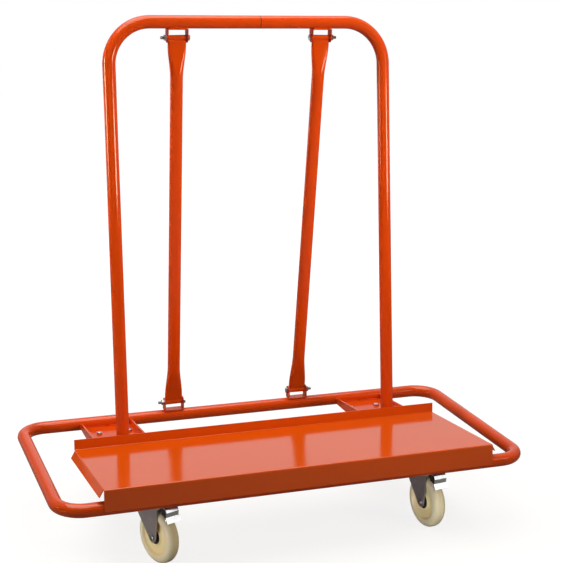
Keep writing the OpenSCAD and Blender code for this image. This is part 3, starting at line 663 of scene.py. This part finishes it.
for k, (corner, sx, sy, turn) in enumerate(casters):
    place = on_caster(sx, sy, turn, trail, axle_z) @ along_x @ turned_a_little(k + 1)
    axle, nut = bmesh.new(), bmesh.new()
    bolted(axle, nut, place, cheek_out, -cheek_out, -cheek_out - axle_nut - axle_end,
           -cheek_out + thread_in, axle_head, axle_nut)
    finished(corner + "_axle_bolt", axle, zinc_plating, corner + "_swivel",
             [corner + "_axle"])
    finished(corner + "_thin_nut", nut, zinc_plating, corner + "_swivel",
             [corner + "_axle_nut"])

# Wheels: cast cream nylon with rounded treads, dished sides and a fine parting line from the mould, on
# dark shielded bearings that are pressed into the hubs.
nylon_cream = (0.93, 0.85, 0.61, 1)
nylon_deep = (0.90, 0.80, 0.53, 1)
cast_nylon, nylon_tree, nylon_shader = material(
    "cast_nylon", IOR=1.53, Subsurface_Weight=0.25, Subsurface_Scale=0.01)
skin(nylon_tree, nylon_shader, coat_skin, bump_strength=0.1, bump_depth=0.0002, Colour=nylon_cream,
     Shade=nylon_deep, Gloss_roughness=0.28, Patchiness=0.12, Peel_size=900.0)
shield_and_shade_dark = (0.012, 0.012, 0.012, 1)
shield_and_shade_grey = (0.03, 0.03, 0.03, 1)
bearing_black_and_hub_shade, shield_tree, shield_shader = material("bearing_black_and_hub_shade", Metallic=0.2)
skin(shield_tree, shield_shader, metal_skin, bump_strength=0.05, bump_depth=0.0001, Colour=shield_and_shade_grey,
     Shade=shield_and_shade_dark)
hub_bore, bearing_r, bearing_in = 0.005, 0.013, 0.008
wheel_r, tread_half, tread_round, dish_r = 0.0635, 0.0155, 0.013, 0.0435
tread_steps, parting_half, parting_depth = 14, 0.0004, 0.0002
# From the bearing's seat over the hub's rim, down the dish and up to the shoulder of the tread
side_section = [(bearing_r, bearing_in), (bearing_r, 0.0118), (0.0185, 0.0120), (0.0195, 0.0117),
                (0.0202, 0.0108), (0.0210, 0.0096), (0.0226, 0.0088), (0.0250, 0.0085), (0.0290, 0.0084),
                (0.0340, 0.0084), (0.0385, 0.0086), (0.0410, 0.0095), (0.0428, 0.0115), (0.0440, 0.0135),
                (0.0452, 0.0149), (0.0468, 0.0154), (0.0485, tread_half),
                (wheel_r - tread_round, tread_half)]
for step in range(1, tread_steps + 1):
    angle = math.radians(90 - 90 * step / tread_steps)
    side_section.append((wheel_r - tread_round + tread_round * math.cos(angle),
                         tread_half - tread_round + tread_round * math.sin(angle)))
side_section.append((wheel_r, parting_half))
wheel_section = ([(hub_bore, bearing_in)] + side_section + [(wheel_r - parting_depth, 0.0)]
                 + [(r, -h) for r, h in reversed(side_section)] + [(hub_bore, -bearing_in)])
# The dished sides inside dish_r get a darker, yellower copy of the nylon: painted shade for the recess of
# the dish, where less light falls.
dish_shade_cream = (0.92, 0.79, 0.46, 1)
dish_shade_deep = (0.88, 0.73, 0.38, 1)
dish_painted_shade, dish_shade_tree, dish_shade_shader = material(
    "dish_painted_shade", IOR=1.53, Subsurface_Weight=0.25, Subsurface_Scale=0.01)
skin(dish_shade_tree, dish_shade_shader, coat_skin, bump_strength=0.2, bump_depth=0.0003, Colour=dish_shade_cream,
     Shade=dish_shade_deep, Gloss_roughness=0.35, Patchiness=0.15, Peel_size=500.0)
# Near-black rings laid on the hub faces round the bearings, out past the bearings' rims: painted shade for
# the gap between the fork cheek and the hub. The bearings themselves are black shielded.
shade_ring_section = [(0.0132, 0.0119), (0.0172, 0.0119), (0.0176, 0.0128), (0.0170, 0.0136), (0.0132, 0.0136)]
for corner, sx, sy, turn in casters:
    place = on_caster(sx, sy, turn, trail, axle_z) @ along_x
    wheel, shade_rings = bmesh.new(), bmesh.new()
    lathe(wheel, wheel_section, place, steps=96)
    made = finished(corner + "_nylon_wheel", wheel, cast_nylon, corner + "_wheel_set",
                    [corner + "_wheel"], crease=50)
    # Faces inside the dish take the copy with the painted shade
    made.data.materials.append(dish_painted_shade)
    for face in made.data.polygons:
        spot = place.inverted() @ face.center
        if math.hypot(spot.x, spot.y) < dish_r:
            face.material_index = 1
    for s in (-1, 1):
        lathe(shade_rings, [(r, s * h) for r, h in shade_ring_section], place, steps=64)
    finished(corner + "_hub_shade_rings", shade_rings, bearing_black_and_hub_shade, corner + "_wheel_set")
    dress(corner + "_wheel_bearings", bearing_black_and_hub_shade)

# Brakes: bright chromed pressings on the front casters, each with a nose, a set-back neck and a wide
# flap for the foot, over two side webs painted near-black for the shade on them. A pin carries the
# pedal, a rubber pad brakes the tread.
pivot_ahead, pivot_z, pedal_half, flap_half, pedal_t = 0.056, 0.1415, 0.0163, 0.0186, 0.0025
pin_r, boss_r, boss_inset, boss_round = 0.00305, 0.007, 0.0004, 0.0005
pedal_bend, pedal_edge = 0.0018, 0.0004
flap_from, flap_growth, pedal_stations = 0.75, 8, (-1, -0.9, 0, 0.9, 1)
web_clear, web_t, pad_edge = 0.0002, 0.002, 0.0008
half_t = pedal_t / 2
# Side views, as distances ahead of the pin and above it: the middle of the pressing and the webs
pedal_line = [(0.002, 0.006 - half_t), (0.0295 - half_t, 0.006 - half_t), (0.034 - half_t, -0.004),
              (0.033 - half_t, -0.014), (0.041 - half_t, -0.0255 - half_t)]
web_line = [(0.0, 0.0036), (0.0272, 0.0036), (0.0310, -0.0045), (0.0300, -0.0140), (0.0355, -0.0230),
            (0.0225, -0.0140), (0.0070, -0.0050)]
boss_in = boss_r - boss_inset
boss_section = [(pin_r, -pedal_half), (boss_in, -pedal_half), (boss_r, -pedal_half + boss_round),
                (boss_r, pedal_half - boss_round), (boss_in, pedal_half), (pin_r, pedal_half)]
chrome_bright = (0.88, 0.89, 0.90, 1)
chrome_dim = (0.78, 0.79, 0.81, 1)
bright_chrome, chrome_tree, chrome_shader = material("bright_chrome", Metallic=1.0)
skin(chrome_tree, chrome_shader, metal_skin, bump_strength=0.02, bump_depth=0.0001, Colour=chrome_bright,
     Shade=chrome_dim, Plain_roughness=0.05, Cloud_size=90.0, Line_size=500.0)
# The webs' near-black colour is painted shade, for the shade that falls on the pedal's sides; its two tones
# mix at random.
web_shade_dark = (0.02, 0.02, 0.022, 1)
web_shade_mottle = (0.05, 0.05, 0.055, 1)
web_painted_shade, web_shade_tree, web_shade_shader = material("web_painted_shade", Metallic=0.4)
skin(web_shade_tree, web_shade_shader, metal_skin, bump_strength=0.08, bump_depth=0.0001, Colour=web_shade_dark,
     Shade=web_shade_mottle)
rubber_black = (0.015, 0.015, 0.015, 1)
rubber_grey = (0.03, 0.03, 0.03, 1)
brake_rubber, rubber_tree, rubber_shader = material("brake_rubber")
skin(rubber_tree, rubber_shader, coat_skin, bump_strength=0.3, bump_depth=0.0003, Colour=rubber_black,
     Shade=rubber_grey, Gloss_roughness=0.6, Peel_size=800.0)
front_casters = casters[:2]
for corner, sx, sy, turn in front_casters:
    place = on_caster(sx, sy, turn, pivot_ahead, pivot_z)
    pedal = bmesh.new()

    def on_pedal(p, a, share):
        # The plate widens into the flap over its last stretch
        widened = min(1, max(0, (share - flap_from) * flap_growth))
        return place @ Vector((a * (pedal_half + (flap_half - pedal_half) * widened), -p.x, p.y))

    folded(pedal, bent_strip(pedal_line, pedal_t, pedal_bend), on_pedal, pedal_stations)
    lathe(pedal, boss_section, place @ along_x, steps=40)
    webs = bmesh.new()
    for s in (-1, 1):
        skin_rings(webs, [[place @ Vector((s * (pedal_half - depth), -a, b)) for a, b in web_line]
                          for depth in (web_clear, web_clear + web_t)])
    finished(corner + "_pedal_webs", webs, web_painted_shade, corner + "_pedal")
    made = finished(corner + "_pressed_pedal", pedal, bright_chrome, corner + "_pedal",
                    [corner + "_brake_pedal"], crease=40)
    round_edges(made, pedal_edge, least_angle=50)
    dress(corner + "_pedal_pin", plain_steel)
    dress(corner + "_brake_pad", brake_rubber, pad_edge)

# Studio: a pale floor with soft light from above and both sides, and a white surround. Gloss sees the
# surround white behind and above and dim on the near side, as in a studio whose white walls are behind.
scene.view_settings.view_transform = "Standard"
white = (1, 1, 1, 1)
floor_grey = (0.22, 0.22, 0.22, 1)
floor_half = 9
# The camera's heading over the floor, which sets what is behind the cart and what is beside it
heading_x, heading_y = 0.35, 0.94
# Fades of the surround and the floor: where each starts and ends, and its level there
side_fade, near_fade = (0.25, 0.6, 0.68, 0.25), (-0.2, 0.3, 0.1, 1.0)
height_fade, ceiling_fade = (0.25, 0.5, 0.0, 0.9), (-0.3, 0.3, 0.1, 0.45)
far_fade, middle_fade = (2.0, 6.0, 0.0, 1.0), (0.7, 3.0, 0.84, 1.0)
shed_level = 0.04


def ramp(tree, value, low, high, start, end):
    # Goes smoothly from start to end as the value goes from low to high
    node = add(tree, "ShaderNodeMapRange",
               {"From Min": low, "From Max": high, "To Min": start, "To Max": end},
               interpolation_type="SMOOTHSTEP")
    tree.links.new(value, node.inputs["Value"])
    return node.outputs["Result"]


world = bpy.data.worlds.new("surround")
scene.world = world
world.use_nodes = True
sky_tree = world.node_tree
sky = sky_tree.nodes["Background"]
sky.inputs["Color"].default_value = white
sky_path = add(sky_tree, "ShaderNodeLightPath")
toward = add(sky_tree, "ShaderNodeTexCoord")
axes = add(sky_tree, "ShaderNodeSeparateXYZ")
sky_tree.links.new(toward.outputs["Generated"], axes.inputs[0])
behind = by_math(sky_tree, "ADD",
                 by_math(sky_tree, "MULTIPLY", axes.outputs["X"], heading_x),
                 by_math(sky_tree, "MULTIPLY", axes.outputs["Y"], heading_y))
across = by_math(sky_tree, "ABSOLUTE", by_math(
    sky_tree, "SUBTRACT",
    by_math(sky_tree, "MULTIPLY", axes.outputs["X"], heading_y),
    by_math(sky_tree, "MULTIPLY", axes.outputs["Y"], heading_x)))
ring_level = by_math(sky_tree, "MULTIPLY", ramp(sky_tree, across, *side_fade),
                     ramp(sky_tree, behind, *near_fade))
overhead = by_math(sky_tree, "MULTIPLY", ramp(sky_tree, axes.outputs["Z"], *height_fade),
                   ramp(sky_tree, behind, *ceiling_fade))
gloss_level = by_math(sky_tree, "MAXIMUM", ring_level, overhead)
straight = by_math(sky_tree, "MAXIMUM", sky_path.outputs["Is Camera Ray"],
                   sky_path.outputs["Is Transmission Ray"])
shown = by_math(sky_tree, "MAXIMUM", straight,
                by_math(sky_tree, "MULTIPLY", sky_path.outputs["Is Glossy Ray"], gloss_level))
shed = by_math(sky_tree, "MULTIPLY", sky_path.outputs["Is Diffuse Ray"], shed_level)
sky_tree.links.new(by_math(sky_tree, "MAXIMUM", shown, shed), sky.inputs["Strength"])

floor_mesh = bpy.data.meshes.new("studio_floor")
floor_corners = [(sx * floor_half, sy * floor_half, 0) for sx, sy in ((-1, -1), (1, -1), (1, 1), (-1, 1))]
floor_mesh.from_pydata(floor_corners, [], [(0, 1, 2, 3)])
floor = bpy.data.objects.new("studio_floor", floor_mesh)
scene.collection.objects.link(floor)
floor_paint, floor_tree, floor_shader = material("floor_paint", Roughness=0.9, Specular_IOR_Level=0.0)
floor_shader.inputs["Base Color"].default_value = floor_grey
floor_shader.inputs["Emission Color"].default_value = white
floor_path = add(floor_tree, "ShaderNodeLightPath")
floor_place = add(floor_tree, "ShaderNodeTexCoord")
spot_axes = add(floor_tree, "ShaderNodeSeparateXYZ")
floor_tree.links.new(floor_place.outputs["Object"], spot_axes.inputs[0])
far_side = ramp(floor_tree, spot_axes.outputs["Y"], *far_fade)
floor_seen = by_math(floor_tree, "MAXIMUM", floor_path.outputs["Is Camera Ray"],
                     floor_path.outputs["Is Transmission Ray"])
floor_shown = by_math(floor_tree, "MAXIMUM", floor_seen,
                      by_math(floor_tree, "MULTIPLY", floor_path.outputs["Is Glossy Ray"], far_side))
from_middle = add(floor_tree, "ShaderNodeVectorMath", operation="LENGTH")
floor_tree.links.new(floor_place.outputs["Object"], from_middle.inputs[0])
fill = ramp(floor_tree, from_middle.outputs["Value"], *middle_fade)
floor_tree.links.new(by_math(floor_tree, "MULTIPLY", floor_shown, fill),
                     floor_shader.inputs["Emission Strength"])
floor_mesh.materials.append(floor_paint)


def softbox(name, place, aim, width, height, power, spread=180, tint=(1, 1, 1), in_gloss=True):
    # A lamp that stands at a place and points at its aim; its width and height are in metres, its power
    # is in watts and its spread in degrees
    lamp = bpy.data.lights.new(name, "AREA")
    lamp.shape = "RECTANGLE"
    lamp.size = width
    lamp.size_y = height
    lamp.energy = power
    lamp.spread = math.radians(spread)
    lamp.color = tint
    holder = bpy.data.objects.new(name, lamp)
    holder.location = place
    holder.rotation_euler = (Vector(aim) - Vector(place)).to_track_quat("-Z", "Y").to_euler()
    holder.visible_glossy = in_gloss
    scene.collection.objects.link(holder)


warm, soft_warm = (1.0, 0.86, 0.62), (1.0, 0.97, 0.86)
softbox("top_softbox", (-0.5, 0.3, 6.0), (0, 0, 0.5), 6.4, 5.0, 305, tint=soft_warm)
softbox("rear_softbox", (-0.5, 2.4, 5.2), (0, 0, 0.4), 4.3, 2.7, 36, in_gloss=False)
softbox("left_fill", (-3.0, 0.35, 1.35), (0, 0.1, 1.0), 0.9, 1.4, 24, tint=warm, in_gloss=False)
softbox("left_strip", (-3.0, 0.35, 1.35), (0, 0.1, 1.05), 0.7, 1.4, 1.7, 24, warm)
softbox("right_fill", (1.3, -1.35, 1.4), (0, 0.1, 0.9), 0.6, 1.2, 4.7, 64, warm, in_gloss=False)
softbox("right_strip", (2.6, -2.8, 1.17), (0, 0.1, 1.0), 1.0, 0.55, 0.75, 24, warm)
softbox("right_card", (1.585, -1.56, 1.17), (0, -0.25, 0.12), 0.5, 0.7, 1.4)
softbox("front_fill", (-1.9, -3.2, 2.4), (0, 0.1, 1.08), 2.0, 1.4, 1.0, 30, in_gloss=False)
softbox("left_kicker", (-1.05, -0.45, 0.07), (-0.32, -0.19, 0.06), 0.15, 0.08, 0.039, 20)
softbox("right_kicker", (-0.15, -0.75, 0.06), (0.345, -0.19, 0.06), 0.15, 0.08, 0.042, 20)

# Camera: in front of the cart to its left, a little above the hoop, with a long lens. Its focal length
# is given in pixels of the square picture.
picture, focal, sensor = 563, 1323.18, 36
stand = Vector((-1.0292, -2.8546, 1.3584))
yaw, pitch, roll = (math.radians(angle) for angle in (20.27, 14.315, 1.361))
ahead = Vector((math.sin(yaw) * math.cos(pitch), math.cos(yaw) * math.cos(pitch), -math.sin(pitch)))
level_right = Vector((math.cos(yaw), -math.sin(yaw), 0))
level_up = level_right.cross(ahead)
right = level_right * math.cos(roll) + level_up * math.sin(roll)
up = level_up * math.cos(roll) - level_right * math.sin(roll)
lens = bpy.data.cameras.new("camera")
lens.sensor_width = sensor
lens.sensor_height = sensor
lens.sensor_fit = "HORIZONTAL"
lens.lens = sensor * focal / picture
camera = bpy.data.objects.new("camera", lens)
camera.matrix_world = Matrix((
    (right.x, up.x, -ahead.x, stand.x),
    (right.y, up.y, -ahead.y, stand.y),
    (right.z, up.z, -ahead.z, stand.z),
    (0, 0, 0, 1)))
scene.collection.objects.link(camera)
scene.camera = camera
